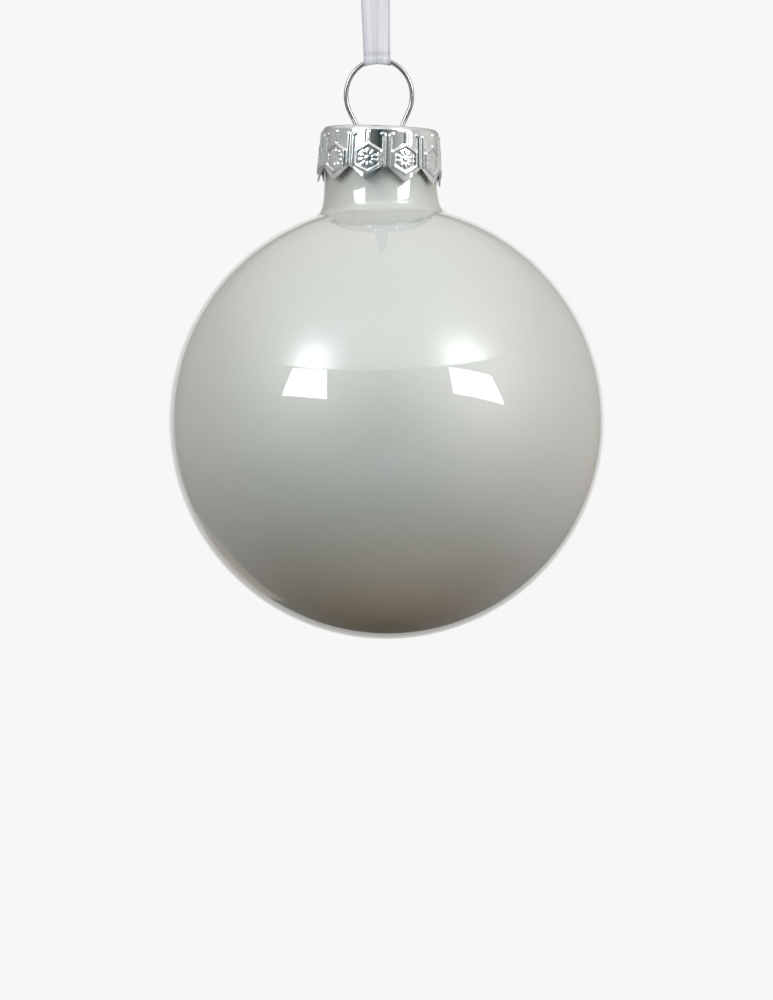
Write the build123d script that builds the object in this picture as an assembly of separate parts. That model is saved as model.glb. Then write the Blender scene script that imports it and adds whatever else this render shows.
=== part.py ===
from build123d import *
import math
import os

# A glass ball ornament: a blown shell with a lacquer lining, a crown cap held on by a spring hanger,
# and a ribbon loop tied in a knot. Sizes are in millimetres.
# The origin is where the loop bears on a twig or hook, +Z is up and +Y is away from the viewer.
# A height, h_, is counted from the ball's centre.

# Glass shell and its lining
ball_radius = 40.0
glass_wall = 0.8
lining_wall = 0.12
neck_radius = 10.53
neck_flare = 3.0
lip_radius = 10.0
h_taper = 45.0
h_lip = 52.4
lining_below_lip = 0.9

# The blown shell is kept as three stacked nodes, which meet face to face at these heights
h_equator = 0.0
h_neck_root = 37.0

# Crown cap, drawn in its own frame with its top at zero
h_cap = 54.0
cap_sheet = 0.3
cap_top_radius = 10.75
cap_rim_radius = 11.4
cap_depth = 10.2
cap_notch_depth = 7.5
cap_shoulder = 1.0
cap_panels = 10
cap_first_panel = -101.0
cap_seat_tilt = 3.5
cap_seat_shift = 0.35
hole_spacing = 7.7
hole_radius = 0.75

# Stamped relief on one panel of the cap
relief = 0.22
relief_root = 0.1
hexagon_width = 4.8
hexagon_side = 2.9
hexagon_depth = 6.1
hexagon_border = 0.5
stem_width = 0.4
stem_top_depth = 1.2
rib_width = 0.45
rib_gap = 0.75
rib_top_depth = 1.5
rib_bottom_depth = 7.3

# Hanger wire: an omega ring above the cap, a waist just under it and two spring legs
wire_radius = 0.425
ring_radius = 6.08
h_ring_top = 66.7
half_gap_at_cap = 3.9
h_waist = 51.7
leg_foot = (8.0, 36.4)
leg_toe = (7.1, 34.9)
waist_bend = 1.2
foot_bend = 0.7
hanger_shift = 0.2

# Ribbon: the route is (y, z) from the knot, round the twig, under the ring's wire and back
ribbon_width = 5.4
ribbon_thickness = 0.25
loop_drop = 90.0
pivot_below_ring_top = 0.316
twig_bend = 4.125
fold_bend = 0.925
ribbon_route = [
    (-0.40, 1.43),
    (-4.19, -2.36),
    (-0.905, -90.553),
    (0.0, -91.061),
    (0.905, -90.553),
    (4.19, -2.36),
    (0.40, 1.43),
]
ribbon_bends = [twig_bend, fold_bend, fold_bend, fold_bend, twig_bend]

# Knot and its two tails
knot_size = (6.6, 4.4, 4.2)
knot_round = 1.7
knot_z = 3.2
tail_length = 13.0
tail_lean = 22.0
tail_offset = 0.5

ball_z = pivot_below_ring_top - loop_drop - h_ring_top


def shell_outline(depth, h_end, end_radius):
    """Half of the shell's outline at a depth into its wall, from the bottom pole to the mouth."""
    sphere = ball_radius - depth
    flare = neck_flare + depth
    throat = neck_radius - depth
    centre_x = neck_radius + neck_flare
    centre_h = math.sqrt((ball_radius + neck_flare) ** 2 - centre_x**2)
    join_angle = math.atan2(centre_h, centre_x)
    belly_angle = (join_angle - math.pi / 2) / 2
    flare_angle = join_angle / 2 + math.pi
    belly = (sphere * math.cos(belly_angle), sphere * math.sin(belly_angle))
    join = (sphere * math.cos(join_angle), sphere * math.sin(join_angle))
    flare_middle = (
        centre_x + flare * math.cos(flare_angle),
        centre_h + flare * math.sin(flare_angle),
    )
    return [
        ThreePointArc((0, -sphere), belly, join),
        ThreePointArc(join, flare_middle, (throat, centre_h)),
        Line((throat, centre_h), (throat, h_taper)),
        Line((throat, h_taper), (end_radius, h_end)),
    ]


def make_shell(outer, inner, mouth):
    """The wall between two outlines, which a mouth edge joins, turned round the neck's axis."""
    pole = Line(outer[0] @ 0, inner[0] @ 0)
    wall = make_face(Plane.XZ * Wire(outer + inner + [mouth, pole]))
    return Pos(0, 0, ball_z) * revolve(wall, Axis.Z)


def make_glass_shell():
    h_end = h_lip - glass_wall / 2
    outer = shell_outline(0, h_end, lip_radius)
    inner = shell_outline(glass_wall, h_end, lip_radius - glass_wall)
    lip = ThreePointArc(outer[-1] @ 1, (lip_radius - glass_wall / 2, h_lip), inner[-1] @ 1)
    return make_shell(outer, inner, lip)


def make_glass_nodes():
    """The one blown shell as a bowl, a dome and a neck."""
    shell = make_glass_shell()
    equator = Plane.XY.offset(ball_z + h_equator)
    neck_root = Plane.XY.offset(ball_z + h_neck_root)
    bowl = split(shell, bisect_by=equator, keep=Keep.BOTTOM)
    above = split(shell, bisect_by=equator, keep=Keep.TOP)
    dome = split(above, bisect_by=neck_root, keep=Keep.BOTTOM)
    neck = split(above, bisect_by=neck_root, keep=Keep.TOP)
    return bowl, dome, neck


def make_pearl_lining():
    h_end = h_lip - lining_below_lip
    taper = (h_end - h_taper) / (h_lip - glass_wall / 2 - h_taper)
    end_radius = neck_radius - glass_wall - taper * (neck_radius - lip_radius)
    outer = shell_outline(glass_wall, h_end, end_radius)
    inner = shell_outline(glass_wall + lining_wall, h_end, end_radius - lining_wall)
    edge = Line(outer[-1] @ 1, inner[-1] @ 1)
    return make_shell(outer, inner, edge)


def make_drawn_cup():
    """The cap before it is stamped: a flat top, a rounded shoulder and a flared skirt."""
    outer = FilletPolyline(
        (0, 0), (cap_top_radius, 0), (cap_rim_radius, -cap_depth), radius=cap_shoulder
    )
    inner = FilletPolyline(
        (0, -cap_sheet),
        (cap_top_radius - cap_sheet, -cap_sheet),
        (cap_rim_radius - cap_sheet, -cap_depth),
        radius=cap_shoulder - cap_sheet,
    )
    centre = Line(outer @ 0, inner @ 0)
    rim = Line(outer @ 1, inner @ 1)
    section = make_face(Plane.XZ * Wire(outer.edges() + inner.edges() + [centre, rim]))
    return revolve(section, Axis.Z)


def make_relief_skin():
    """The thin skin on the skirt that the stamped borders and ribs fill."""
    slope = (cap_rim_radius - cap_top_radius) / cap_depth
    top_radius = cap_top_radius + slope * stem_top_depth
    skin = Polygon(
        (top_radius - relief_root, -stem_top_depth),
        (top_radius + relief, -stem_top_depth),
        (cap_rim_radius + relief, -cap_depth),
        (cap_rim_radius - relief_root, -cap_depth),
        align=None,
    )
    return revolve(Plane.XZ * skin, Axis.Z)


def hexagon(inset):
    """A panel's hexagon, points up and down, drawn in from its edge by an inset."""
    half_width = hexagon_width / 2 - inset
    point = half_width * math.tan(math.radians(30))
    half_side = hexagon_side / 2 - inset * math.tan(math.radians(30))
    corners = [
        (half_width, half_side),
        (0, half_side + point),
        (-half_width, half_side),
        (-half_width, -half_side),
        (0, -half_side - point),
        (half_width, -half_side),
    ]
    return Polygon(*corners, align=None)


def bar(x, top_depth, bottom_depth, width):
    """An upright bar in the stamp's plane."""
    height = bottom_depth - top_depth
    return Pos(x, -(top_depth + bottom_depth) / 2) * Rectangle(width, height)


def make_panel_stamp():
    """One panel's raised border, its stem above and a rib on each side, as a prism facing +X."""
    hexagon_top = hexagon_depth - hexagon_side / 2 - hexagon_width / 2 * math.tan(math.radians(30))
    rib_x = cap_rim_radius * math.tan(math.radians(180 / cap_panels)) - rib_gap
    border = Pos(0, -hexagon_depth) * (hexagon(0) - hexagon(hexagon_border))
    stem = bar(0, stem_top_depth, hexagon_top + hexagon_border / 2, stem_width)
    left_rib = bar(-rib_x, rib_top_depth, rib_bottom_depth, rib_width)
    right_rib = bar(rib_x, rib_top_depth, rib_bottom_depth, rib_width)
    drawing = border + stem + left_rib + right_rib
    stamp = extrude(Plane.YZ * drawing, amount=cap_rim_radius + 2 * relief)
    return stamp & make_relief_skin()


def make_notch():
    """The V cut between two points of the skirt, facing +X."""
    half_pitch = cap_rim_radius * math.tan(math.radians(180 / cap_panels))
    below = cap_depth + cap_sheet
    spread = half_pitch * (below - cap_notch_depth) / (cap_depth - cap_notch_depth)
    notch = Polygon((0, -cap_notch_depth), (spread, -below), (-spread, -below), align=None)
    return extrude(Plane.YZ * notch, amount=2 * cap_rim_radius)


def make_crown_cap():
    panel = make_panel_stamp()
    notch = make_notch()
    pitch = 360 / cap_panels
    angles = [cap_first_panel + pitch * i for i in range(cap_panels)]
    cap = make_drawn_cup() + [Rot(0, 0, a) * panel for a in angles]
    cap -= [Rot(0, 0, a + pitch / 2) * notch for a in angles]
    hole = Cylinder(hole_radius, 4 * cap_sheet)
    cap -= [Pos(x, 0, 0) * hole for x in (-hole_spacing / 2, hole_spacing / 2)]
    return Pos(cap_seat_shift, 0, ball_z + h_cap) * Rot(0, cap_seat_tilt, 0) * cap


def make_hanger_wire():
    h_centre = h_ring_top - ring_radius
    gap_distance = math.hypot(half_gap_at_cap, h_centre - h_cap)
    gap_angle = math.atan2(half_gap_at_cap, h_centre - h_cap)
    leave_angle = gap_angle + math.acos(ring_radius / gap_distance)
    leave = (
        ring_radius * math.sin(leave_angle),
        h_centre - ring_radius * math.cos(leave_angle),
    )
    narrowing = (leave[0] - half_gap_at_cap) / (leave[1] - h_cap)
    waist = (half_gap_at_cap - narrowing * (h_cap - h_waist), h_waist)
    leg = FilletPolyline(leave, waist, leg_foot, leg_toe, radius=[waist_bend, foot_bend])
    ring = ThreePointArc(leave, (0, h_ring_top), (-leave[0], leave[1]))
    path = Plane.XZ * Wire(leg.edges() + ring.edges() + mirror(leg, Plane.YZ).edges())
    section = Plane(path @ 0, z_dir=path % 0) * Circle(wire_radius)
    return Pos(hanger_shift, 0, ball_z) * sweep(section, path)


def make_ribbon_loop():
    path = Plane.YZ * FilletPolyline(*ribbon_route, radius=ribbon_bends)
    start = Plane(path @ 0, x_dir=(1, 0, 0), z_dir=path % 0)
    loop = sweep(start * Rectangle(ribbon_width, ribbon_thickness), path)
    area = ribbon_width * ribbon_thickness
    print("ribbon bend radii, mm:", ribbon_bends)
    print(f"ribbon in the loop: {path.length:.1f} mm")
    print(f"ribbon volume over section times length: {loop.volume / (area * path.length):.4f}")
    return loop


def make_tail(side):
    """One cut end of the ribbon, standing out of the knot."""
    strip = Pos(0, 0, tail_length / 2) * Box(ribbon_width, ribbon_thickness, tail_length)
    return Pos(0, side * tail_offset, knot_z) * Rot(0, side * tail_lean, 0) * strip


def make_ribbon_knot():
    block = Box(*knot_size)
    knot = Pos(0, 0, knot_z) * fillet(block.edges(), knot_round)
    return knot + make_tail(-1) + make_tail(1)


glass_bowl, glass_dome, glass_neck = make_glass_nodes()

nodes = {
    "glass_ball": glass_bowl,
    "glass_dome": glass_dome,
    "glass_neck": glass_neck,
    "pearl_lining": make_pearl_lining(),
    "crown_cap": make_crown_cap(),
    "hanger_wire": make_hanger_wire(),
    "ribbon_loop": make_ribbon_loop(),
    "ribbon_knot": make_ribbon_knot(),
}

os.makedirs("parts", exist_ok=True)
for name, solid in nodes.items():
    export_step(solid, f"parts/{name}.step")
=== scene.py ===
import math

import bmesh
import bpy
from mathutils import Matrix, Vector, geometry, noise


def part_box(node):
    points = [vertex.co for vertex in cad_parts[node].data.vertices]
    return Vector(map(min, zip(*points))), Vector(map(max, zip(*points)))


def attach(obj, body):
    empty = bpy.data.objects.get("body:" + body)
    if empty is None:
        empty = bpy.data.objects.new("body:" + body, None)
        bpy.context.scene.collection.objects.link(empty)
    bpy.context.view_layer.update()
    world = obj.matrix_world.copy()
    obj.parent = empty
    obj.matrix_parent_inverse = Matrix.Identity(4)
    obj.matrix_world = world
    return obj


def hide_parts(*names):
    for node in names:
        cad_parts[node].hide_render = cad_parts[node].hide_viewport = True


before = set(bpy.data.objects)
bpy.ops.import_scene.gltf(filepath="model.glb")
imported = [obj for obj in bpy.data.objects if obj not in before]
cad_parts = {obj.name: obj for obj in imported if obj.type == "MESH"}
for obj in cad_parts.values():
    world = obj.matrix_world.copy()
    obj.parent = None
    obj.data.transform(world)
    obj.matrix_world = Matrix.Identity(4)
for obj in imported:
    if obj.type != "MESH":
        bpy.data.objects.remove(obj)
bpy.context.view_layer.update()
MM = 0.001

# ---------------------------------------------------------------------------------------------
# Driving sizes, in metres. Heights are above the ball's centre.
# ---------------------------------------------------------------------------------------------
BALL_RADIUS = 40.0 * MM
GLASS_WALL = 0.8 * MM
LINING_WALL = 0.12 * MM
LINING_BOND = 0.03 * MM
NECK_FLARE = 3.0 * MM
NECK_FLARE_CENTRE = 13.72 * MM
NECK_LEAN_LOW = math.radians(11.5)
NECK_LEAN_HIGH = math.radians(2.0)
LIP_RADIUS = 10.0 * MM
TAPER_HEIGHT = 45.0 * MM
LIP_HEIGHT = 52.4 * MM
LINING_BELOW_LIP = 0.9 * MM
BLOWN_RIPPLE = 0.025 * MM

CAP_HEIGHT = 54.0 * MM
CAP_SHEET = 0.26 * MM
CAP_TOP_RADIUS = 10.75 * MM
CAP_RIM_RADIUS = 11.4 * MM
CAP_DEPTH = 10.2 * MM
CAP_NOTCH_DEPTH = 7.5 * MM
CAP_SHOULDER = 1.0 * MM
CAP_PANELS = 10
CAP_FIRST_PANEL = math.radians(-101.0)
CAP_SEAT_TILT = math.radians(3.5)
CAP_SEAT_SHIFT = 0.35 * MM
HOLE_OFFSET = 3.85 * MM
HOLE_RADIUS = 0.75 * MM

WIRE_RADIUS = 0.425 * MM
RING_RADIUS = 6.08 * MM
RING_HALF_HEIGHT = 6.58 * MM
RING_TOP_HEIGHT = 66.7 * MM
HALF_GAP_AT_CAP = 3.9 * MM
WAIST_HEIGHT = 51.7 * MM
LEG_FOOT = (8.0 * MM, 36.4 * MM)
LEG_TOE = (7.1 * MM, 34.9 * MM)
HANGER_SHIFT = 0.2 * MM

RIBBON_WIDTH = 5.4 * MM
RIBBON_NARROWEST = 4.9 * MM
RIBBON_THICKNESS = 0.16 * MM
RIBBON_SHEERNESS = 0.35
RIBBON_ROUTE = [
    (-0.00040, 0.00143),
    (-0.00419, -0.00236),
    (-0.00300, -0.03440),
    (-0.00210, -0.05850),
    (-0.000905, -0.090420),
    (0.0, -0.090900),
    (0.000905, -0.090420),
    (0.00210, -0.05850),
    (0.00300, -0.03440),
    (0.00419, -0.00236),
    (0.00040, 0.00143),
]

BALL_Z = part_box("glass_ball")[0].z + BALL_RADIUS
BALL_CENTRE = Vector((0, 0, BALL_Z))

# ---------------------------------------------------------------------------------------------
# Camera
# ---------------------------------------------------------------------------------------------
CAMERA_DISTANCE = 0.8
CAMERA_LENS = 156.3
CAMERA_ROLL = math.radians(1.5)


def make_camera():
    data = bpy.data.cameras.new("camera")
    data.lens = CAMERA_LENS
    data.shift_y = -0.0783
    data.dof.use_dof = False
    camera = bpy.data.objects.new("camera", data)
    bpy.context.scene.collection.objects.link(camera)
    camera.location = BALL_CENTRE + Vector((0, -CAMERA_DISTANCE, 0))
    camera.rotation_mode = "XYZ"
    camera.rotation_euler = (math.pi / 2, CAMERA_ROLL, 0)
    bpy.context.scene.camera = camera


make_camera()


# ---------------------------------------------------------------------------------------------
# Mesh and node helpers
# ---------------------------------------------------------------------------------------------
def new_piece(name, verts, faces, material, body, *nodes):
    """A smooth mesh piece that rides on a body and stands for CAD nodes."""
    mesh = bpy.data.meshes.new(name)
    mesh.from_pydata([tuple(v) for v in verts], [], faces)
    mesh.update()
    mesh.shade_smooth()
    mesh.materials.append(material)
    piece = bpy.data.objects.new(name, mesh)
    bpy.context.scene.collection.objects.link(piece)
    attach(piece, body)
    if nodes:
        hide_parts(*nodes)
    return piece


def grid_faces(rows, columns, closed_rows=False, closed_columns=False, first=0):
    """Quads between rows of points, each row of the same number of columns."""
    faces = []
    for r in range(rows if closed_rows else rows - 1):
        below = first + r * columns
        above = first + (r + 1) % rows * columns
        for c in range(columns if closed_columns else columns - 1):
            d = (c + 1) % columns
            faces.append((below + c, below + d, above + d, above + c))
    return faces


def arc(centre, radius, start, end, steps):
    """Points on an arc, its first point left out."""
    angles = [start + (end - start) * i / steps for i in range(1, steps + 1)]
    return [
        (centre[0] + radius * math.cos(a), centre[1] + radius * math.sin(a)) for a in angles
    ]


def straight(start, end, steps):
    """Points on a line, its first point left out."""
    shares = [i / steps for i in range(1, steps + 1)]
    return [
        (start[0] + (end[0] - start[0]) * t, start[1] + (end[1] - start[1]) * t) for t in shares
    ]


def smooth_step(low, high, x):
    t = min(1.0, max(0.0, (x - low) / (high - low)))
    return t * t * (3 - 2 * t)


class Nodes:
    """Adds nodes to a tree in short calls. An input may be a number, a colour or a socket."""

    def __init__(self, tree):
        self.tree = tree
        tree.nodes.clear()

    def add(self, kind, inputs=None, **settings):
        node = self.tree.nodes.new(kind)
        for name, value in settings.items():
            setattr(node, name, value)
        for name, value in (inputs or {}).items():
            self.plug(node.inputs[name], value)
        return node

    def plug(self, socket, value):
        if isinstance(value, bpy.types.NodeSocket):
            self.tree.links.new(value, socket)
        elif isinstance(value, (tuple, list)) and len(value) == 3 and socket.type == "RGBA":
            socket.default_value = (*value, 1.0)
        else:
            socket.default_value = value

    def math(self, operation, *values, clamp=False):
        inputs = dict(enumerate(values))
        node = self.add("ShaderNodeMath", inputs, operation=operation, use_clamp=clamp)
        return node.outputs[0]

    def dot(self, a, b):
        node = self.add("ShaderNodeVectorMath", {0: a, 1: b}, operation="DOT_PRODUCT")
        return node.outputs["Value"]

    def scale(self, vector, factors):
        node = self.add("ShaderNodeVectorMath", {0: vector, 1: factors}, operation="MULTIPLY")
        return node.outputs[0]

    def step(self, value, low, high, to_low=0.0, to_high=1.0):
        """A smooth step between two values of an input."""
        inputs = {"Value": value, 1: low, 2: high, 3: to_low, 4: to_high}
        node = self.add("ShaderNodeMapRange", inputs, interpolation_type="SMOOTHSTEP")
        return node.outputs[0]

    def mix(self, share, a, b, blend_type="MIX"):
        settings = {"data_type": "RGBA", "blend_type": blend_type, "clamp_factor": False}
        node = self.add("ShaderNodeMix", {0: share, 6: a, 7: b}, **settings)
        return node.outputs[2]

    def ramp(self, value, stops):
        node = self.add("ShaderNodeValToRGB", {0: value})
        elements = node.color_ramp.elements
        while len(elements) < len(stops):
            elements.new(0.5)
        for element, (position, colour) in zip(elements, stops):
            element.position = position
            element.color = (*colour, 1.0)
        return node.outputs[0]

    def noise(self, vector, scale, detail=2.0, roughness=0.5):
        inputs = {"Vector": vector, "Scale": scale, "Detail": detail, "Roughness": roughness}
        return self.add("ShaderNodeTexNoise", inputs).outputs[0]

    def bump(self, height, strength, distance):
        inputs = {"Strength": strength, "Distance": distance, "Height": height}
        return self.add("ShaderNodeBump", inputs).outputs[0]


def new_material(name):
    material = bpy.data.materials.new(name)
    material.use_nodes = True
    return material, Nodes(material.node_tree)


def finish_material(nodes, shader):
    nodes.add("ShaderNodeOutputMaterial", {"Surface": shader})


# ---------------------------------------------------------------------------------------------
# Studio: a surround seen only in reflections, two softboxes in it, and a plain pale background
# ---------------------------------------------------------------------------------------------
BACKGROUND = 0.93
# Light from all round at a height, from straight down, -1, to straight up, 1; the ceiling is lit
SURROUND = [
    (-1.0, (0.36, 0.19, 0.03)),
    (-0.7, (0.02, 0.01, 0.0)),
    (-0.4, (0.03, 0.12, 0.12)),
    (-0.15, (0.01, 0.01, 0.01)),
    (0.1, (0.03, 0.07, 0.07)),
    (0.450, (0.13, 0.16, 0.12)),
    (0.464, (0.58, 0.55, 0.53)),
    (0.72, (0.98, 0.96, 0.92)),
    (1.0, (1.45, 1.38, 1.34)),
]
# More light from the two sides
SIDE_LIGHT = [
    (-0.85, (0.0, 0.0, 0.0)),
    (-0.6, (0.50, 0.39, 0.39)),
    (-0.4, (0.50, 0.39, 0.39)),
    (-0.15, (0.73, 0.68, 0.61)),
    (0.450, (0.73, 0.69, 0.63)),
    (0.464, (0.24, 0.21, 0.21)),
]
RIGHT_SIDE_GAIN = 1.47
# A cool floor in front
FRONT_LIGHT = [
    (-1.0, (0.0, 0.0, 0.0)),
    (-0.7, (0.37, 0.78, 0.70)),
    (-0.4, (0.37, 0.78, 0.70)),
    (-0.15, (0.0, 0.0, 0.0)),
]
# Each softbox: the azimuth and elevation of its corners, in degrees, and its level
SOFTBOXES = [
    ([(-54.0, 26.0), (-33.0, 26.5), (-31.0, 12.0), (-57.0, 13.0)], 11.5),
    ([(36.0, 26.0), (59.5, 19.5), (64.5, 6.0), (36.0, 13.0)], 15.0),
]
# Glows on the ceiling, one over each softbox and a wide one between: azimuth, elevation, spread
# and level. The ceiling starts at this height.
CEILING_EDGE = (0.450, 0.464)
HAZES = [
    (-43.0, 28.6, 9.5, 10.5),
    (47.0, 27.6, 10.5, 9.5),
    (0.0, 31.0, 20.0, 0.9),
]
# The white backdrop behind the ornament, and the lit sweep in front of it
BACKDROP_LEAN = (-0.046, 1.0, -0.074)
BACKDROP_EDGE = (0.905, 0.915)
SWEEP = [(-168.0, -10.0), (-150.0, -12.0), (-142.0, -24.0), (-156.0, -34.0)]
SWEEP_COLOUR = (0.70, 0.62, 0.57)


def direction(azimuth, elevation):
    """A unit vector: azimuth from straight in front of the ornament, to the right, in degrees."""
    a, e = math.radians(azimuth), math.radians(elevation)
    return Vector((math.sin(a) * math.cos(e), -math.cos(a) * math.cos(e), math.sin(e)))


def patch_mask(nodes, look, corners):
    """1 inside a four-sided patch of the surround, 0 outside."""
    mask = 1.0
    rays = [direction(*corner) for corner in corners]
    middle = sum(rays, Vector())
    for start, end in zip(rays, rays[1:] + rays[:1]):
        inward = start.cross(end).normalized()
        if inward.dot(middle) < 0:
            inward = -inward
        edge = nodes.step(nodes.dot(look, tuple(inward)), -0.006, 0.006)
        mask = nodes.math("MULTIPLY", mask, edge)
    return mask


def haze(nodes, look, azimuth, elevation, spread, level):
    """A soft round glow on the surround."""
    ahead = nodes.dot(look, tuple(direction(azimuth, elevation)))
    sharpness = 0.7 / (1 - math.cos(math.radians(spread)))
    fall = nodes.math("POWER", nodes.math("MAXIMUM", ahead, 0.0), sharpness)
    return nodes.math("MULTIPLY", fall, level)


def make_studio():
    scene = bpy.context.scene
    scene.view_settings.view_transform = "Standard"
    scene.view_settings.look = "None"
    scene.cycles.use_denoising = True
    world = bpy.data.worlds.new("studio")
    scene.world = world
    world.use_nodes = True
    nodes = Nodes(world.node_tree)
    look = nodes.add("ShaderNodeTexCoord").outputs["Generated"]
    parts = nodes.add("ShaderNodeSeparateXYZ", {0: look})
    height = nodes.math("MULTIPLY_ADD", parts.outputs["Z"], 0.5, 0.5)
    surround = nodes.ramp(height, [((z + 1) / 2, colour) for z, colour in SURROUND])
    sides = nodes.ramp(height, [((z + 1) / 2, colour) for z, colour in SIDE_LIGHT])
    rightward = nodes.math("MAXIMUM", parts.outputs["X"], 0.0)
    leftward = nodes.math("MAXIMUM", nodes.math("MULTIPLY", parts.outputs["X"], -1.0), 0.0)
    side = nodes.math("MULTIPLY_ADD", rightward, RIGHT_SIDE_GAIN, leftward)
    surround = nodes.mix(side, surround, sides, "ADD")
    front = nodes.ramp(height, [((z + 1) / 2, colour) for z, colour in FRONT_LIGHT])
    frontward = nodes.math("MAXIMUM", nodes.math("MULTIPLY", parts.outputs["Y"], -1.0), 0.0)
    surround = nodes.mix(nodes.math("POWER", frontward, 8.0), surround, front, "ADD")
    backdrop = nodes.step(nodes.dot(look, BACKDROP_LEAN), *BACKDROP_EDGE)
    surround = nodes.mix(patch_mask(nodes, look, SWEEP), surround, SWEEP_COLOUR)
    surround = nodes.mix(backdrop, surround, (BACKGROUND, BACKGROUND, BACKGROUND * 0.99))
    level = 0.0
    for corners, glow in SOFTBOXES:
        level = nodes.math("MULTIPLY_ADD", patch_mask(nodes, look, corners), glow, level)
    ceiling = nodes.step(parts.outputs["Z"], *CEILING_EDGE)
    for glow in HAZES:
        lit = nodes.math("MULTIPLY", haze(nodes, look, *glow), ceiling)
        level = nodes.math("ADD", lit, level)
    lamps = nodes.add("ShaderNodeEmission", {"Color": (0.93, 1.0, 1.0), "Strength": level})
    room = nodes.add("ShaderNodeEmission", {"Color": surround, "Strength": 1.0})
    lit = nodes.add("ShaderNodeAddShader", {0: room.outputs[0], 1: lamps.outputs[0]})
    plain = nodes.add("ShaderNodeBackground", {"Color": (BACKGROUND,) * 3, "Strength": 1.0})
    camera_ray = nodes.add("ShaderNodeLightPath").outputs["Is Camera Ray"]
    seen = nodes.add("ShaderNodeMixShader", {0: camera_ray, 1: lit.outputs[0], 2: plain.outputs[0]})
    nodes.add("ShaderNodeOutputWorld", {"Surface": seen.outputs[0]})


make_studio()


# ---------------------------------------------------------------------------------------------
# Ribbon
# ---------------------------------------------------------------------------------------------
def route_line(points):
    """The smooth line that a NURBS spline makes of the route's points."""
    data = bpy.data.curves.new("ribbon_route", "CURVE")
    data.dimensions = "3D"
    data.resolution_u = 40
    spline = data.splines.new("NURBS")
    spline.points.add(len(points) - 1)
    for point, (y, z) in zip(spline.points, points):
        point.co = (0.0, y, z, 1.0)
    spline.order_u = 3
    spline.use_endpoint_u = True
    holder = bpy.data.objects.new("ribbon_route", data)
    mesh = bpy.data.meshes.new_from_object(holder)
    line = [v.co.copy() for v in mesh.vertices]
    bpy.data.meshes.remove(mesh)
    bpy.data.objects.remove(holder)
    bpy.data.curves.remove(data)
    return line


def evenly(line, step):
    """The line again, with points about a step apart."""
    lengths = [0.0]
    for a, b in zip(line, line[1:]):
        lengths.append(lengths[-1] + (b - a).length)
    count = math.ceil(lengths[-1] / step)
    points, k = [], 0
    for i in range(count + 1):
        s = lengths[-1] * i / count
        while k < len(lengths) - 2 and lengths[k + 1] < s:
            k += 1
        t = (s - lengths[k]) / max(lengths[k + 1] - lengths[k], 1e-9)
        points.append(line[k].lerp(line[k + 1], t))
    return points


# ---------------------------------------------------------------------------------------------
# Materials
# ---------------------------------------------------------------------------------------------
def object_place(nodes):
    return nodes.add("ShaderNodeTexCoord").outputs["Object"]


def make_ribbon_cloth():
    """Sheer satin: fine lengthwise threads, finer crosswise ones, a firmer edge on each side, and
    painted shade down the middle crease.
    """
    material, nodes = new_material("sheer_ribbon")
    uv = nodes.add("ShaderNodeUVMap", uv_map="weave").outputs[0]
    parts = nodes.add("ShaderNodeSeparateXYZ", {0: uv})
    across, along = parts.outputs["X"], parts.outputs["Y"]
    warp = nodes.noise(nodes.scale(uv, (2600.0, 60.0, 1.0)), 1.0, 2.0, 0.6)
    slub = nodes.noise(nodes.scale(uv, (900.0, 25.0, 1.0)), 1.0, 1.0, 0.5)
    weft = nodes.math("SINE", nodes.math("MULTIPLY", along, 2 * math.pi / (0.22 * MM)))
    from_middle = nodes.math("ABSOLUTE", across)
    edge = nodes.step(from_middle, 0.0021, 0.00245)
    # Painted shade: a mask that is 1 along the crease down the ribbon's middle and fades out to each
    # side
    crease_shade = nodes.step(from_middle, 0.00005, 0.00028, 1.0, 0.0)
    streak = nodes.math("MULTIPLY_ADD", nodes.math("SUBTRACT", warp, 0.5), 0.7, 0.5)
    slub = nodes.math("MULTIPLY", nodes.math("SUBTRACT", slub, 0.5), 0.6)
    streak = nodes.math("ADD", streak, slub)
    cloth = nodes.ramp(streak, [(0.25, (0.62, 0.605, 0.66)), (0.75, (0.87, 0.855, 0.905))])
    cloth = nodes.mix(nodes.math("MULTIPLY", edge, 0.45), cloth, (0.40, 0.39, 0.435))
    # Painted shade: the cloth is darkened along the middle crease
    cloth = nodes.mix(nodes.math("MULTIPLY", crease_shade, 0.22), cloth, (0.44, 0.43, 0.47))
    threads = nodes.math("MULTIPLY_ADD", weft, 0.12, nodes.math("MULTIPLY", warp, 1.0))
    roughness = nodes.math("MULTIPLY_ADD", warp, 0.2, 0.34)
    shader = nodes.add(
        "ShaderNodeBsdfPrincipled",
        {
            "Base Color": cloth,
            "Roughness": roughness,
            "Sheen Weight": 0.25,
            "Sheen Roughness": 0.4,
            "Normal": nodes.bump(threads, 0.35, 0.05 * MM),
        },
    )
    glow = nodes.add("ShaderNodeBsdfTranslucent", {"Color": cloth})
    sheer = nodes.add(
        "ShaderNodeMixShader", {0: RIBBON_SHEERNESS, 1: shader.outputs[0], 2: glow.outputs[0]}
    )
    finish_material(nodes, sheer.outputs[0])
    return material


def make_clear_glass():
    material, nodes = new_material("clear_glass")
    ripple = nodes.noise(object_place(nodes), 55.0, 1.0, 0.4)
    shader = nodes.add(
        "ShaderNodeBsdfPrincipled",
        {
            "Base Color": (1.0, 1.0, 1.0),
            "Roughness": 0.0,
            "IOR": 1.55,
            "Transmission Weight": 1.0,
            "Normal": nodes.bump(ripple, 0.1, 0.05 * MM),
        },
    )
    finish_material(nodes, shader.outputs[0])
    return material


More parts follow.
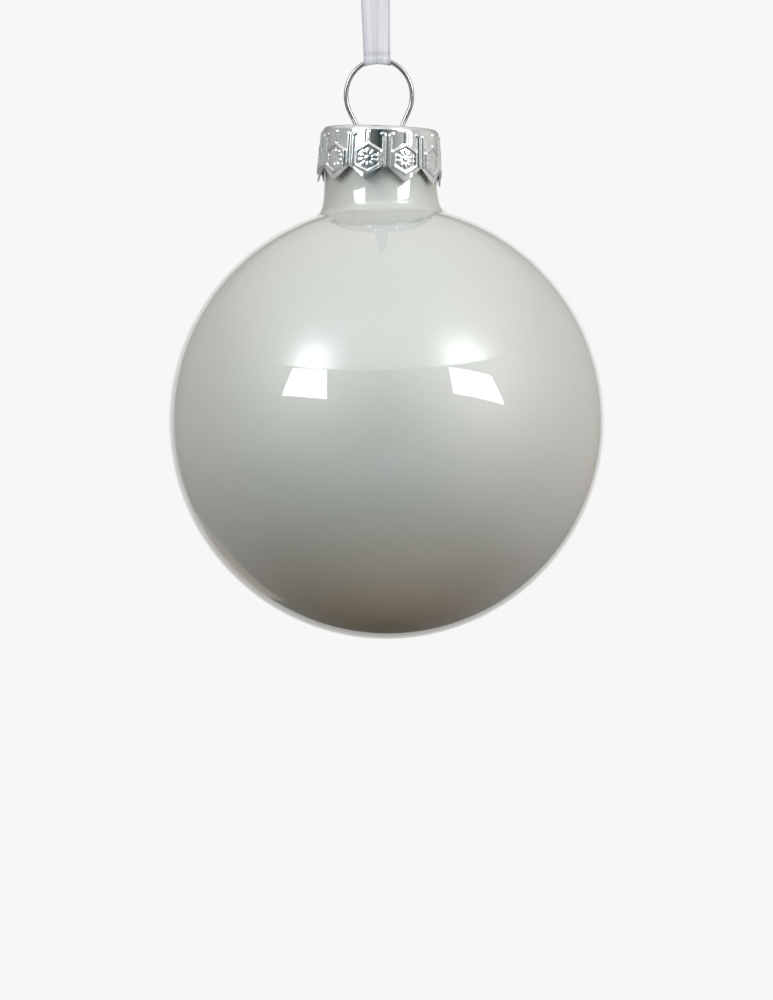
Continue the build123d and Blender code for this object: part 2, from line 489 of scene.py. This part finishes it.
def make_pearl_lacquer():
    """A silver pearl lacquer: fine flakes, slow drifts between a green and a pink tinge."""
    material, nodes = new_material("pearl_lacquer")
    place = object_place(nodes)
    drift = nodes.noise(place, 28.0, 2.0, 0.5)
    flakes = nodes.noise(place, 5200.0, 1.0, 0.5)
    lacquer = nodes.ramp(drift, [(0.35, (0.655, 0.675, 0.66)), (0.65, (0.675, 0.67, 0.65))])
    lacquer = nodes.mix(nodes.step(flakes, 0.35, 0.7, 0.0, 0.12), lacquer, (0.95, 0.95, 0.92))
    roughness = nodes.math("MULTIPLY_ADD", flakes, 0.12, 0.42)
    shader = nodes.add(
        "ShaderNodeBsdfPrincipled",
        {
            "Base Color": lacquer,
            "Metallic": 0.3,
            "Roughness": roughness,
            "Specular IOR Level": 0.15,
        },
    )
    finish_material(nodes, shader.outputs[0])
    return material


def make_cap_metal():
    """Bright plated sheet with a faint grain from drawing and stamping."""
    material, nodes = new_material("cap_metal")
    place = object_place(nodes)
    tarnish = nodes.noise(place, 240.0, 3.0, 0.6)
    grain = nodes.noise(nodes.scale(place, (1.0, 1.0, 0.15)), 4200.0, 2.0, 0.6)
    plating = nodes.ramp(tarnish, [(0.35, (0.58, 0.605, 0.64)), (0.7, (0.45, 0.47, 0.50))])
    roughness = nodes.step(tarnish, 0.35, 0.75, 0.03, 0.09)
    shader = nodes.add(
        "ShaderNodeBsdfPrincipled",
        {
            "Base Color": plating,
            "Metallic": 1.0,
            "Roughness": roughness,
            "Normal": nodes.bump(grain, 0.12, 0.02 * MM),
        },
    )
    finish_material(nodes, shader.outputs[0])
    return material


def make_spring_wire():
    """Drawn steel wire, with die lines along it."""
    material, nodes = new_material("spring_wire")
    uv = nodes.add("ShaderNodeUVMap", uv_map="drawn").outputs[0]
    lines = nodes.noise(nodes.scale(uv, (30.0, 150.0, 1.0)), 1.0, 3.0, 0.6)
    stain = nodes.noise(object_place(nodes), 700.0, 2.0, 0.5)
    steel = nodes.ramp(stain, [(0.35, (0.36, 0.36, 0.36)), (0.7, (0.25, 0.25, 0.25))])
    roughness = nodes.step(lines, 0.3, 0.7, 0.16, 0.34)
    shader = nodes.add(
        "ShaderNodeBsdfPrincipled",
        {
            "Base Color": steel,
            "Metallic": 1.0,
            "Roughness": roughness,
            "Normal": nodes.bump(lines, 0.2, 0.02 * MM),
        },
    )
    finish_material(nodes, shader.outputs[0])
    return material


def make_floor_paint():
    material, nodes = new_material("floor_paint")
    mottle = nodes.noise(object_place(nodes), 9.0, 3.0, 0.5)
    paint = nodes.ramp(mottle, [(0.3, (0.565, 0.565, 0.56)), (0.7, (0.60, 0.60, 0.595))])
    shader = nodes.add("ShaderNodeBsdfPrincipled", {"Base Color": paint, "Roughness": 0.7})
    finish_material(nodes, shader.outputs[0])
    return material


RIBBON_CLOTH = make_ribbon_cloth()
CLEAR_GLASS = make_clear_glass()
PEARL_LACQUER = make_pearl_lacquer()
CAP_METAL = make_cap_metal()
STEEL_WIRE = make_spring_wire()


# ---------------------------------------------------------------------------------------------
# Ribbon: a strip of woven cloth round the twig and under the ring's wire, and its knot
# ---------------------------------------------------------------------------------------------
RIBBON_COLUMNS = 16
RIBBON_STEP = 0.35 * MM
FOLD_HEIGHT = RIBBON_ROUTE[5][1]
FOLD_REACH = 3.2 * MM
FOLD_CROWN = 0.36 * MM
NARROWING_REACH = 16.0 * MM
PINCH_HEIGHT = 1.95 * MM
PINCH_REACH = 0.30 * MM
PINCH_LIFT = 0.16 * MM
CUP_LIFT = 0.10 * MM
RIPPLE_LIFT = 0.09 * MM
RIPPLE_PER_METRE = 95.0
CENTRE_FOLD_LIFT = 0.05 * MM
CENTRE_FOLD_WIDTH = 0.09


def add_uv(piece, name, coordinates):
    """A UV layer from one (u, v) pair per vertex."""
    layer = piece.data.uv_layers.new(name=name)
    for loop in piece.data.loops:
        layer.data[loop.index].uv = coordinates[loop.vertex_index]


def strip_mesh(rows, coordinates, ribbon_normal):
    """Vertices, faces and weave coordinates of a thin strip, from its rows of points."""
    columns = len(rows[0])
    half = RIBBON_THICKNESS / 2
    verts, uvs = [], []
    for side in (1, -1):
        for row, normals, row_uv in zip(rows, ribbon_normal, coordinates):
            verts += [p + n * half * side for p, n in zip(row, normals)]
            uvs += row_uv
    count = len(rows) * columns
    faces = grid_faces(len(rows), columns)
    faces += [tuple(reversed([i + count for i in f])) for f in grid_faces(len(rows), columns)]
    border = list(range(columns))
    border += [r * columns + columns - 1 for r in range(1, len(rows))]
    border += [(len(rows) - 1) * columns + c for c in range(columns - 2, -1, -1)]
    border += [r * columns for r in range(len(rows) - 2, 0, -1)]
    for a, b in zip(border, border[1:] + border[:1]):
        faces.append((b, a, a + count, b + count))
    return verts, faces, uvs


def row_normals(rows):
    """The normal of a grid of points at each of its points."""
    normals = []
    last_row, last_column = len(rows) - 1, len(rows[0]) - 1
    for r, row in enumerate(rows):
        line = []
        for c in range(last_column + 1):
            along = rows[min(r + 1, last_row)][c] - rows[max(r - 1, 0)][c]
            across = row[min(c + 1, last_column)] - row[max(c - 1, 0)]
            line.append(across.cross(along).normalized())
        normals.append(line)
    return normals


def make_ribbon_strip():
    line = evenly(route_line(RIBBON_ROUTE), RIBBON_STEP)
    rows, coordinates, distance = [], [], 0.0
    for i, point in enumerate(line):
        ahead = line[min(i + 1, len(line) - 1)] - line[max(i - 1, 0)]
        inward = Vector((1, 0, 0)).cross(ahead).normalized()
        above_fold = point.z - FOLD_HEIGHT
        share = smooth_step(0.0, NARROWING_REACH, above_fold)
        width = RIBBON_NARROWEST + (RIBBON_WIDTH - RIBBON_NARROWEST) * share
        crown = FOLD_CROWN * (1 - smooth_step(0.0, FOLD_REACH, above_fold))
        pinch = PINCH_LIFT * math.exp(-(((above_fold - PINCH_HEIGHT) / PINCH_REACH) ** 2))
        cup = CUP_LIFT * share
        if i:
            distance += (point - line[i - 1]).length
        row, row_uv = [], []
        for c in range(RIBBON_COLUMNS + 1):
            t = 2 * c / RIBBON_COLUMNS - 1
            spot = Vector((t * 1.6, distance * RIPPLE_PER_METRE, 3.7))
            ripple = noise.noise(spot) * RIPPLE_LIFT * share
            lift = crown * (1 - t * t) + pinch + cup * (t * t - 0.5) + ripple
            fold = CENTRE_FOLD_LIFT * math.exp(-((t / CENTRE_FOLD_WIDTH) ** 2)) * share
            x = t * width / 2
            row.append(Vector((x, point.y, point.z)) + inward * (lift + fold))
            row_uv.append((t * RIBBON_WIDTH / 2, distance))
        rows.append(row)
        coordinates.append(row_uv)
    verts, faces, uvs = strip_mesh(rows, coordinates, row_normals(rows))
    strip = new_piece("ribbon_strip", verts, faces, RIBBON_CLOTH, "ribbon", "ribbon_loop")
    add_uv(strip, "weave", uvs)
    return strip, line


KNOT_Z = 3.2 * MM
KNOT_HALF = (3.15 * MM, 2.05 * MM, 1.95 * MM)
KNOT_PLEATS = 11
TAIL_LENGTH = 13.0 * MM
TAIL_LEAN = math.radians(22.0)
TAIL_OFFSET = 0.5 * MM


def knot_core():
    """The gathered ball of the knot, with slanting pleats."""
    rows, columns = 28, 96
    points, uvs = [], []
    for r in range(rows + 1):
        latitude = -math.pi / 2 + math.pi * r / rows
        for c in range(columns):
            longitude = 2 * math.pi * c / columns
            slant = longitude * KNOT_PLEATS + latitude * 2.2
            pleat = 1 - 0.055 * (0.5 + 0.5 * math.sin(slant)) ** 2 * math.cos(latitude)
            ring = math.cos(latitude) ** 0.8 * pleat if math.cos(latitude) > 0 else 0.0
            x = KNOT_HALF[0] * ring * math.cos(longitude)
            y = KNOT_HALF[1] * ring * math.sin(longitude)
            points.append(Vector((x, y, KNOT_Z + KNOT_HALF[2] * math.sin(latitude))))
            uvs.append((RIBBON_WIDTH * (c / columns * 4 % 1 - 0.5) * 0.7, latitude * 2 * MM))
    return points, grid_faces(rows + 1, columns, closed_columns=True), uvs


def knot_wrap(lean, half_width, size):
    """One turn of ribbon round the knot, with its pleats along it."""
    turns, columns = 120, 14
    points, uvs = [], []
    tilt = math.sin(lean), math.cos(lean)
    for r in range(turns):
        a = 2 * math.pi * r / turns
        for c in range(columns + 1):
            t = 2 * c / columns - 1
            gather = 0.035 * MM * math.cos(t * math.pi * 3.0 + 0.6 * math.sin(a * 2))
            bulge = 0.30 * MM * math.sqrt(max(0.0, 1 - t * t))
            reach = bulge + gather
            x = (size[0] + reach) * math.cos(a)
            y = (size[1] + reach) * math.sin(a)
            z = t * half_width * (1 + 0.12 * math.sin(a + 0.8))
            shoulder = 1 - 0.16 * t * t
            x, y = x * shoulder, y * shoulder
            points.append(
                Vector((x * tilt[1] + z * tilt[0], y, KNOT_Z - x * tilt[0] + z * tilt[1]))
            )
            uvs.append((t * RIBBON_WIDTH / 2, a * 3 * MM))
    return points, grid_faces(turns, columns + 1, closed_rows=True), uvs


def tail_rows(side):
    """One cut end of the ribbon, pinched at the knot and cut on the slant."""
    steps = 44
    rows, coordinates = [], []
    lean = TAIL_LEAN * side
    for r in range(steps + 1):
        v = r / steps
        row, row_uv = [], []
        for c in range(RIBBON_COLUMNS + 1):
            t = 2 * c / RIBBON_COLUMNS - 1
            length = TAIL_LENGTH * (0.90 + 0.085 * t * side) - 0.2 * MM
            up = v * length
            open_out = smooth_step(0.0, 0.62, v)
            width = 3.0 * MM + (RIBBON_WIDTH - 0.2 * MM - 3.0 * MM) * open_out
            pleat = 0.42 * MM * math.cos(t * math.pi * 2.5) * (1 - open_out)
            curl = side * 0.75 * MM * math.sin(v * 2.6) + 0.25 * MM * v * v * t
            x = t * width / 2
            y = side * TAIL_OFFSET + curl + pleat
            row.append(
                Vector(
                    (
                        x * math.cos(lean) + up * math.sin(lean),
                        y,
                        KNOT_Z - x * math.sin(lean) + up * math.cos(lean),
                    )
                )
            )
            row_uv.append((t * RIBBON_WIDTH / 2, up))
        rows.append(row)
        coordinates.append(row_uv)
    return rows, coordinates


def make_knot():
    verts, faces, uvs = [], [], []

    def take(part):
        first = len(verts)
        verts.extend(part[0])
        faces.extend([tuple(i + first for i in f) for f in part[1]])
        uvs.extend(part[2])

    take(knot_core())
    take(knot_wrap(math.radians(16), 1.25 * MM, (2.95 * MM, 1.85 * MM)))
    for side in (-1, 1):
        rows, coordinates = tail_rows(side)
        take(strip_mesh(rows, coordinates, row_normals(rows)))
    knot = new_piece("ribbon_knot_tied", verts, faces, RIBBON_CLOTH, "ribbon", "ribbon_knot")
    add_uv(knot, "weave", uvs)
    return knot


ribbon, ribbon_line = make_ribbon_strip()
knot = make_knot()


# ---------------------------------------------------------------------------------------------
# Ball: a blown glass shell and the lacquer inside it, in contact with the glass
# ---------------------------------------------------------------------------------------------
SPIN_STEPS = 256
NECK_STEPS = 10
NECK_CURVE = 1.7
RIPPLE_SCALE = 48.0


def shell_profile(depth, end_radius, end_height):
    """Points (radius, height) of the shell at a depth into its wall, from the pole to the mouth."""
    sphere = BALL_RADIUS - depth
    flare = NECK_FLARE + depth
    centre_x = NECK_FLARE_CENTRE
    centre_h = math.sqrt((BALL_RADIUS + NECK_FLARE) ** 2 - centre_x**2)
    join = math.atan2(centre_h, centre_x)
    profile = [(0.0, -sphere)]
    profile += arc((0, 0), sphere, -math.pi / 2, join, 150)
    profile += arc((centre_x, centre_h), flare, join + math.pi, math.pi + NECK_LEAN_LOW, 16)
    radius, height = profile[-1]
    rise = (TAPER_HEIGHT - height) / NECK_STEPS
    for i in range(NECK_STEPS):
        down = 1 - (i + 0.5) / NECK_STEPS
        lean = NECK_LEAN_HIGH + (NECK_LEAN_LOW - NECK_LEAN_HIGH) * down**NECK_CURVE
        radius, height = radius - rise * math.tan(lean), height + rise
        profile.append((radius, height))
    return profile + straight((radius, height), (end_radius, end_height), 14)


def spin(name, profile, material, nodes, ripple=0.0):
    """A closed profile, from the pole back to the pole, turned round the ball's axis."""
    verts = [BALL_CENTRE + Vector((0, 0, profile[0][1]))]
    for radius, height in profile[1:-1]:
        for k in range(SPIN_STEPS):
            a = 2 * math.pi * k / SPIN_STEPS
            spot = Vector((radius * math.cos(a), radius * math.sin(a), height))
            wave = noise.noise(spot * RIPPLE_SCALE) * ripple
            verts.append(BALL_CENTRE + spot + spot.normalized() * wave)
    verts.append(BALL_CENTRE + Vector((0, 0, profile[-1][1])))
    rings = len(profile) - 2
    faces = grid_faces(rings, SPIN_STEPS, closed_columns=True, first=1)
    last = 1 + (rings - 1) * SPIN_STEPS
    for k in range(SPIN_STEPS):
        after = (k + 1) % SPIN_STEPS
        faces.append((0, 1 + after, 1 + k))
        faces.append((last + k, last + after, len(verts) - 1))
    return new_piece(name, verts, faces, material, "ball", *nodes)


def make_ball():
    h_end = LIP_HEIGHT - GLASS_WALL / 2
    outer = shell_profile(0.0, LIP_RADIUS, h_end)
    inner = shell_profile(GLASS_WALL, LIP_RADIUS - GLASS_WALL, h_end)
    lip = arc((LIP_RADIUS - GLASS_WALL / 2, h_end), GLASS_WALL / 2, 0.0, math.pi, 10)[:-1]
    glass = outer + lip + inner[::-1]
    shell_nodes = ("glass_ball", "glass_dome", "glass_neck")
    ball = spin("ball_glass", glass, CLEAR_GLASS, shell_nodes, BLOWN_RIPPLE)
    h_edge = LIP_HEIGHT - LINING_BELOW_LIP
    share = (h_edge - TAPER_HEIGHT) / (h_end - TAPER_HEIGHT)
    top_radius = next(r for r, h in outer if h >= TAPER_HEIGHT - 1e-9)
    throat = top_radius + (LIP_RADIUS - top_radius) * share - GLASS_WALL
    face = shell_profile(GLASS_WALL - LINING_BOND, throat + LINING_BOND, h_edge)
    back = shell_profile(GLASS_WALL + LINING_WALL, throat - LINING_WALL, h_edge)
    lining = spin("ball_lining", face + back[::-1], PEARL_LACQUER, ("pearl_lining",))


make_ball()


# ---------------------------------------------------------------------------------------------
# Crown cap: a cup of plated sheet, stamped with ten hexagon panels and cut in points
# ---------------------------------------------------------------------------------------------
PANEL_COLUMNS = 56
SKIRT_ROWS = 66
STRAIGHT_ROWS_TO = 5.0 * MM
PANEL_RELIEF = 0.24 * MM
HEX_HALF_WIDTH = 2.4 * MM
HEX_HALF_SIDE = 1.45 * MM
HEX_DEPTH = 6.1 * MM
HEX_BORDER = 0.5 * MM
ROSETTE_STROKES = 10
ROSETTE_RADIUS = 1.25 * MM
ROSETTE_REACH = 0.55 * MM
ROSETTE_RELIEF = 0.15 * MM
BOSS_RADIUS = 0.5 * MM
BOSS_RELIEF = 0.09 * MM
STEM_TOP = 1.2 * MM
STEM_WIDTH = 0.42 * MM
RIB_WIDTH = 0.46 * MM
RIB_GAP = 0.75 * MM
RIB_TOP = 1.5 * MM
RIB_BOTTOM = 7.3 * MM
HALF_PITCH = math.pi / CAP_PANELS
# A face that leans less than this cosine is part of the flat top, and is shaded flat
FLAT_TOP = 0.9995


def bead(offset, half_width):
    """A rounded bead's height, from 1 at its middle to 0 at its sides."""
    t = min(1.0, abs(offset) / half_width)
    return (1 - t * t) ** 0.7


def hexagon_inset(x, y):
    """How far inside the hexagon's outline a point is, negative outside."""
    side = HEX_HALF_WIDTH - abs(x)
    slant = HEX_HALF_SIDE + HEX_HALF_WIDTH * math.tan(math.radians(30))
    slope = (slant - abs(y)) * math.cos(math.radians(30)) - abs(x) * math.sin(math.radians(30))
    return min(side, slope)


def segment_distance(x, y, x0, y0, x1, y1):
    dx, dy = x1 - x0, y1 - y0
    t = ((x - x0) * dx + (y - y0) * dy) / (dx * dx + dy * dy)
    t = min(1.0, max(0.0, t))
    return math.hypot(x - x0 - t * dx, y - y0 - t * dy)


def stamped(x, depth):
    """The stamp's height at a place on one panel, in metres."""
    y = HEX_DEPTH - depth
    inset = hexagon_inset(x, y)
    half = HEX_BORDER / 2
    height = PANEL_RELIEF * 1.15 * bead(inset - half, half * 1.25)
    if inset > half:
        r = math.hypot(x, y)
        turn = math.atan2(y, x)
        field = smooth_step(half, HEX_BORDER * 1.7, inset)
        dome = 0.08 * MM * max(0.0, 1 - (r / (2.1 * MM)) ** 2)
        strokes = (0.5 + 0.5 * math.cos(ROSETTE_STROKES * turn + math.pi)) ** 1.4
        ring = bead(r - ROSETTE_RADIUS, ROSETTE_REACH) * strokes * ROSETTE_RELIEF
        boss = bead(r, BOSS_RADIUS) * BOSS_RELIEF
        height = max(height, field * (dome + max(ring, boss)))
    hex_top = HEX_DEPTH - HEX_HALF_SIDE - HEX_HALF_WIDTH * math.tan(math.radians(30))
    stem = segment_distance(x, depth, 0.0, STEM_TOP, 0.0, hex_top + half)
    height = max(height, PANEL_RELIEF * bead(stem, STEM_WIDTH / 2 * 1.2))
    rib_x = CAP_RIM_RADIUS * math.tan(HALF_PITCH) - RIB_GAP
    rib = segment_distance(abs(x), depth, rib_x, RIB_TOP + 0.35 * MM, rib_x, RIB_BOTTOM)
    height = max(height, PANEL_RELIEF * 1.1 * bead(rib, RIB_WIDTH / 2 * 1.2))
    hook = segment_distance(
        abs(x), depth, rib_x - 0.42 * MM, RIB_TOP + 0.15 * MM, rib_x, RIB_TOP + 0.35 * MM
    )
    return max(height, PANEL_RELIEF * 1.1 * bead(hook, RIB_WIDTH / 2 * 1.15))


def skirt_edge(share):
    """The depth of the cut edge; share is 0 at a panel's middle and 1 between two panels."""
    round_point = math.sqrt(share * share + 0.006) - math.sqrt(0.006) * (1 - share)
    return CAP_DEPTH - (CAP_DEPTH - CAP_NOTCH_DEPTH) * min(1.0, round_point)


def cup_place(angle, depth, height):
    """A point of the cup's outer face: depth is counted down the skirt from the flat top."""
    slope = math.atan2(CAP_RIM_RADIUS - CAP_TOP_RADIUS, CAP_DEPTH)
    radius = CAP_TOP_RADIUS + depth * math.tan(slope) + height * math.cos(slope)
    z = -depth + height * math.sin(slope)
    return Vector((radius * math.cos(angle), radius * math.sin(angle), z))


def cup_rows():
    """Rows of points over the shoulder and down the stamped skirt to its zigzag edge."""
    slope = math.atan2(CAP_RIM_RADIUS - CAP_TOP_RADIUS, CAP_DEPTH)
    bend = math.pi / 2 - slope
    run = CAP_SHOULDER * math.tan(bend / 2)
    centre_r = CAP_TOP_RADIUS - run
    columns = CAP_PANELS * PANEL_COLUMNS
    angles = [
        CAP_FIRST_PANEL + HALF_PITCH * (2 * (k / PANEL_COLUMNS) - 1) for k in range(columns)
    ]
    shares = [abs(2 * ((k / PANEL_COLUMNS) % 1) - 1) for k in range(columns)]
    rows = []
    for i in range(9):
        a = bend * i / 8
        r = centre_r + CAP_SHOULDER * math.sin(a)
        z = -CAP_SHOULDER * (1 - math.cos(a))
        rows.append([Vector((r * math.cos(b), r * math.sin(b), z)) for b in angles])
    start = run * math.cos(slope)
    for i in range(1, SKIRT_ROWS + 1):
        base = start + (CAP_DEPTH - start) * i / SKIRT_ROWS
        row = []
        for k, angle in enumerate(angles):
            depth = base
            if base > STRAIGHT_ROWS_TO:
                stretch = (skirt_edge(shares[k]) - STRAIGHT_ROWS_TO) / (CAP_DEPTH - STRAIGHT_ROWS_TO)
                depth = STRAIGHT_ROWS_TO + (base - STRAIGHT_ROWS_TO) * stretch
            local = (2 * ((k / PANEL_COLUMNS) % 1) - 1) * HALF_PITCH
            x = local * (CAP_TOP_RADIUS + CAP_RIM_RADIUS) / 2
            row.append(cup_place(angle, depth, stamped(x, depth)))
        rows.append(row)
    return rows


def top_disc(ring):
    """Triangles of the flat top inside a ring of points, with the wire's two holes left open."""
    points = [Vector((p.x, p.y)) for p in ring]
    loops = [list(range(len(points)))]
    for side in (-1, 1):
        first = len(points)
        for k in range(28):
            a = 2 * math.pi * k / 28
            x = side * HOLE_OFFSET + HOLE_RADIUS * math.cos(a)
            points.append(Vector((x, HOLE_RADIUS * math.sin(a))))
        loops.append(list(range(first, len(points))))
    edges = [(a, b) for loop in loops for a, b in zip(loop, loop[1:] + loop[:1])]
    flat, _, triangles, *_ = geometry.delaunay_2d_cdt(points, edges, [], 1, 1e-7)
    verts = [Vector((p.x, p.y, 0)) for p in flat]
    kept = []
    for t in triangles:
        middle = sum((verts[i] for i in t), Vector()) / len(t)
        clear = min(math.hypot(middle.x - s * HOLE_OFFSET, middle.y) for s in (-1, 1))
        if clear > HOLE_RADIUS * 0.98:
            kept.append(tuple(t))
    return verts, kept


def make_cap():
    rows = cup_rows()
    columns = len(rows[0])
    verts = [p for row in rows for p in row]
    faces = [tuple(reversed(f)) for f in grid_faces(len(rows), columns, closed_columns=True)]
    disc_verts, disc_faces = top_disc(rows[0])
    first = len(verts)
    verts += disc_verts
    faces += [tuple(i + first for i in f) for f in disc_faces]
    seat = Matrix.Translation(BALL_CENTRE + Vector((CAP_SEAT_SHIFT, 0, CAP_HEIGHT)))
    seat = seat @ Matrix.Rotation(CAP_SEAT_TILT, 4, "Y")
    cap = new_piece("cap_crown", [seat @ p for p in verts], faces, CAP_METAL, "cap", "crown_cap")
    work = bmesh.new()
    work.from_mesh(cap.data)
    bmesh.ops.remove_doubles(work, verts=work.verts, dist=1e-6)
    bmesh.ops.recalc_face_normals(work, faces=work.faces)
    upright = seat.to_3x3() @ Vector((0, 0, 1))
    for face in work.faces:
        face.smooth = abs(face.normal.dot(upright)) < FLAT_TOP
    work.to_mesh(cap.data)
    work.free()
    sheet = cap.modifiers.new("sheet", "SOLIDIFY")
    sheet.thickness = CAP_SHEET
    sheet.offset = -1.0
    return cap


make_cap()


# ---------------------------------------------------------------------------------------------
# Hanger: a ring, a waist and two spring legs, bent from one wire
# ---------------------------------------------------------------------------------------------
def fillet_points(before, corner, after, radius, steps):
    """Points on the arc that rounds a corner of the wire's centreline."""
    a = (Vector(before) - Vector(corner)).normalized()
    b = (Vector(after) - Vector(corner)).normalized()
    half = math.acos(max(-1.0, min(1.0, a.dot(b)))) / 2
    middle = Vector(corner) + (a + b).normalized() * (radius / math.sin(half))
    start = Vector(corner) + a * (radius / math.tan(half)) - middle
    end = Vector(corner) + b * (radius / math.tan(half)) - middle
    sweep = math.atan2(start.x * end.y - start.y * end.x, start.dot(end))
    first = math.atan2(start.y, start.x)
    angles = [first + sweep * i / steps for i in range(steps + 1)]
    return [(middle.x + radius * math.cos(t), middle.y + radius * math.sin(t)) for t in angles]


def hanger_line():
    """The wire's centreline (x, height) from one toe over the ring to the other."""
    h_centre = RING_TOP_HEIGHT - RING_HALF_HEIGHT
    stretch = RING_HALF_HEIGHT / RING_RADIUS
    drop = (h_centre - CAP_HEIGHT) / stretch
    gap = math.hypot(HALF_GAP_AT_CAP, drop)
    leave_angle = math.atan2(HALF_GAP_AT_CAP, drop) + math.acos(RING_RADIUS / gap)
    leave = (
        RING_RADIUS * math.sin(leave_angle),
        h_centre - RING_HALF_HEIGHT * math.cos(leave_angle),
    )
    narrowing = (leave[0] - HALF_GAP_AT_CAP) / (leave[1] - CAP_HEIGHT)
    waist = (HALF_GAP_AT_CAP - narrowing * (CAP_HEIGHT - WAIST_HEIGHT), WAIST_HEIGHT)
    leg = straight(LEG_TOE, LEG_FOOT, 3)[:-2]
    leg = [LEG_TOE] + leg + fillet_points(LEG_TOE, LEG_FOOT, waist, 0.7 * MM, 8)
    bend = fillet_points(LEG_FOOT, waist, leave, 1.2 * MM, 12)
    leg += straight(leg[-1], bend[0], 16)[:-1] + bend + straight(bend[-1], leave, 6)[:-1]
    start = leave_angle - math.pi / 2
    circle = arc((0, 0), RING_RADIUS, start, math.pi - start, 120)
    ring = [leave] + [(x, h_centre + h * stretch) for x, h in circle]
    return leg + ring + [(-x, h) for x, h in reversed(leg)]


def make_hanger():
    sides = 20
    line = [Vector((x + HANGER_SHIFT, 0, h)) + BALL_CENTRE for x, h in hanger_line()]
    first = (line[0] - line[1]).normalized()
    last = (line[-1] - line[-2]).normalized()
    spine = []
    for i in range(4, 0, -1):
        a = math.pi / 2 * i / 4
        spine.append((line[0] + first * WIRE_RADIUS * math.sin(a), -first, max(0.02, math.cos(a))))
    for i, point in enumerate(line):
        ahead = line[min(i + 1, len(line) - 1)] - line[max(i - 1, 0)]
        spine.append((point, ahead.normalized(), 1.0))
    for i in range(1, 5):
        a = math.pi / 2 * i / 4
        spine.append((line[-1] + last * WIRE_RADIUS * math.sin(a), last, max(0.02, math.cos(a))))
    verts, uvs, distance = [], [], 0.0
    for i, (point, ahead, share) in enumerate(spine):
        across = ahead.cross(Vector((0, 1, 0))).normalized()
        distance += (point - spine[i - 1][0]).length if i else 0.0
        for k in range(sides):
            a = 2 * math.pi * k / sides
            reach = WIRE_RADIUS * share
            verts.append(point + across * reach * math.cos(a) + Vector((0, reach * math.sin(a), 0)))
            uvs.append((math.cos(a), distance))
    faces = grid_faces(len(spine), sides, closed_columns=True)
    faces.append(tuple(range(sides)))
    faces.append(tuple(range(len(verts) - 1, len(verts) - 1 - sides, -1)))
    hanger = new_piece("hanger_ring_wire", verts, faces, STEEL_WIRE, "hanger", "hanger_wire")
    add_uv(hanger, "drawn", uvs)


make_hanger()


# ---------------------------------------------------------------------------------------------
# Floor
# ---------------------------------------------------------------------------------------------
FLOOR_DROP = 0.33
FLOOR_RADIUS = 1.1


def make_floor():
    mesh = bpy.data.meshes.new("floor")
    rim = [2 * math.pi * k / 96 for k in range(96)]
    low = BALL_Z - FLOOR_DROP
    verts = [(FLOOR_RADIUS * math.cos(a), FLOOR_RADIUS * math.sin(a), low) for a in rim]
    mesh.from_pydata(verts, [], [tuple(range(96))])
    mesh.materials.append(make_floor_paint())
    floor = bpy.data.objects.new("floor", mesh)
    bpy.context.scene.collection.objects.link(floor)
    floor.visible_glossy = False
    floor.visible_diffuse = False
    floor.visible_transmission = False


make_floor()
